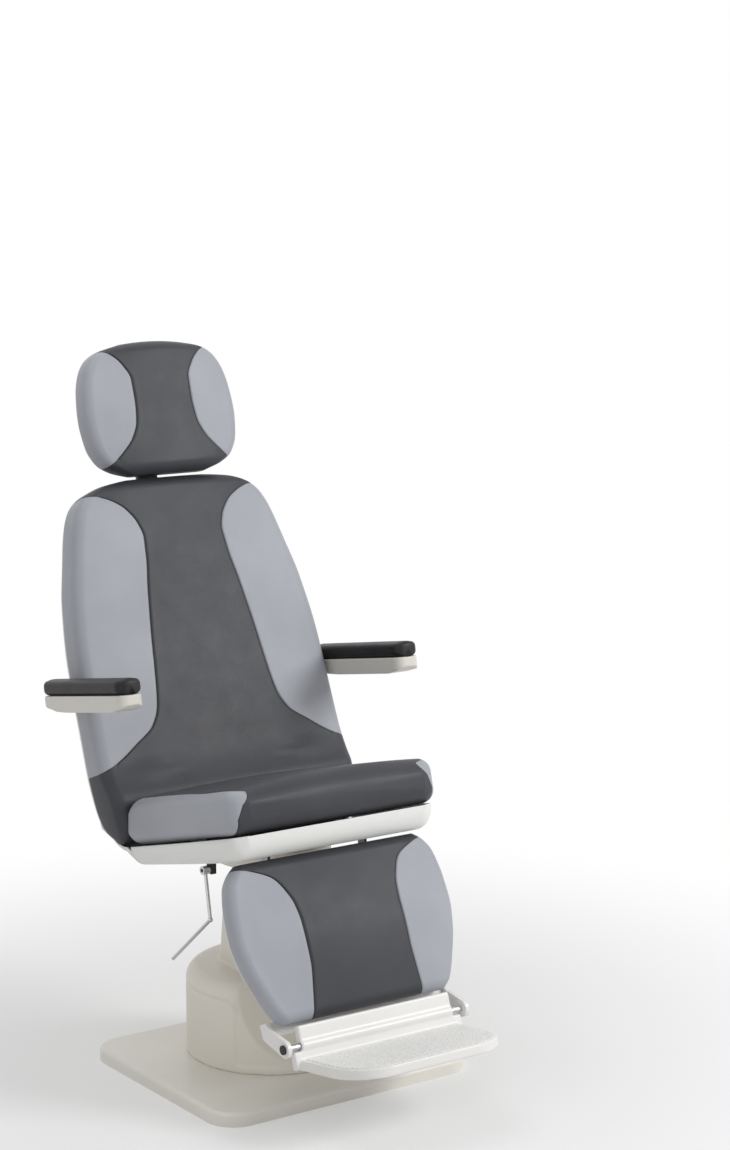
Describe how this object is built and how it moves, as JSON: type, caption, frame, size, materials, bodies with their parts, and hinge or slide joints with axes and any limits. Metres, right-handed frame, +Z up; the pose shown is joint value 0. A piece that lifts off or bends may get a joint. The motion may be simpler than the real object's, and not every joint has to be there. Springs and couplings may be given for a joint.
{
  "type": "ophthalmic examination chair",
  "caption": "Powered eye-examination chair with reclining two-tone back, sliding headrest, swing-up armrests, leg rest and folding footplate on a round column base",
  "frame": {"origin": "where the column's swivel axis meets the floor, under the base plate", "axes": "+Z up, -Y the way the patient faces, +X the patient's left"},
  "size_m": [0.715, 1.1015, 1.435],
  "materials": {
    "base_enamel": "satin powder coat",
    "cover_plastic": "fine satin moulding",
    "rubber_pads": "plain black rubber",
    "steel_frame": "grey frame paint",
    "bright_steel": "bright turned steel",
    "black_plastic": "fine grain",
    "black_steel": "satin black",
    "motor_paint": "semi-matt",
    "shell_plastic": "smooth semi-gloss moulding",
    "vinyl": "embossed upholstery vinyl, two greys",
    "foot_enamel": "satin enamel",
    "tread_rubber": "speckled anti-slip"
  },
  "bodies": {
    "root": {"base_plate": "base_enamel", "plate_pads": "rubber_pads", "base_cover": "cover_plastic", "lift_guide": "steel_frame", "guide_bolts": "bright_steel", "lift_motor": "motor_paint", "power_inlet": "black_plastic"},
    "lift": {"lift_ram": "bright_steel", "swivel_bearing": "bright_steel"},
    "seat": {"column_head": "cover_plastic", "seat_frame": "steel_frame", "seat_shell": "shell_plastic", "seat_cushion": "vinyl", "back_motor": "motor_paint", "hinge_pins": "bright_steel", "leg_pin": "bright_steel", "lever_pivot": "black_plastic"},
    "back": {"back_frame": "steel_frame", "back_shell": "shell_plastic", "back_cushion": "vinyl", "headrest_guide": "black_plastic", "arm_bracket_right": "steel_frame", "arm_bracket_left": "steel_frame"},
    "head_carrier": {"headrest_stem": "black_steel", "headrest_clamp": "black_plastic", "tilt_pin": "bright_steel"},
    "headrest": {"headrest_shell": "shell_plastic", "headrest_cushion": "vinyl"},
    "arm_right": {"arm_casing_right": "shell_plastic", "arm_pad_right": "black_plastic"},
    "arm_left": {"arm_casing_left": "shell_plastic", "arm_pad_left": "black_plastic"},
    "leg_rest": {"leg_frame": "steel_frame", "leg_backing": "shell_plastic", "leg_cushion": "vinyl", "foot_brackets": "foot_enamel", "foot_rod": "bright_steel", "foot_pins": "black_plastic"},
    "foot_rest": {"footplate": "foot_enamel", "foot_tread": "tread_rubber"},
    "lever": {"lever_rod": "bright_steel"}
  },
  "joints": [
    {"name": "seat_lift", "type": "slide", "parent": "root", "child": "lift", "axis": [0, 0, 1], "range_m": [0, 0.15]},
    {"name": "swivel", "type": "hinge", "parent": "lift", "child": "seat", "pos_m": [0, 0, 0.4], "axis": [0, 0, 1], "continuous": true},
    {"name": "recline", "type": "hinge", "parent": "seat", "child": "back", "pos_m": [0, 0.112, 0.49], "axis": [-1, 0, 0], "range_deg": [0, 45]},
    {"name": "leg_lift", "type": "hinge", "parent": "seat", "child": "leg_rest", "pos_m": [0, -0.18811, 0.46621], "axis": [-1, 0, 0], "range_deg": [0, 33]},
    {"name": "headrest_height", "type": "slide", "parent": "back", "child": "head_carrier", "axis": [0, 0.3681, 0.9298], "range_m": [0, 0.08]},
    {"name": "headrest_tilt", "type": "hinge", "parent": "head_carrier", "child": "headrest", "pos_m": [0, 0.50853, 1.26333], "axis": [-1, 0, 0], "range_deg": [0, 25]},
    {"name": "arm_right_swing", "type": "hinge", "parent": "back", "child": "arm_right", "pos_m": [0, 0.26823, 0.7379], "axis": [-1, 0, 0], "range_deg": [0, 95]},
    {"name": "arm_left_swing", "type": "hinge", "parent": "back", "child": "arm_left", "pos_m": [0, 0.26823, 0.7379], "axis": [-1, 0, 0], "range_deg": [0, 95]},
    {"name": "footplate_fold", "type": "hinge", "parent": "leg_rest", "child": "foot_rest", "pos_m": [0, -0.36077, 0.16648], "axis": [-1, 0, 0], "range_deg": [0, 80]},
    {"name": "lever_swing", "type": "hinge", "parent": "seat", "child": "lever", "pos_m": [-0.1, 0.098, 0.392], "axis": [1, 0, 0], "range_deg": [0, 12]}
  ],
  "couplings": [
    {"joint": "leg_lift", "follows": "recline", "ratio": 0.733}
  ]
}
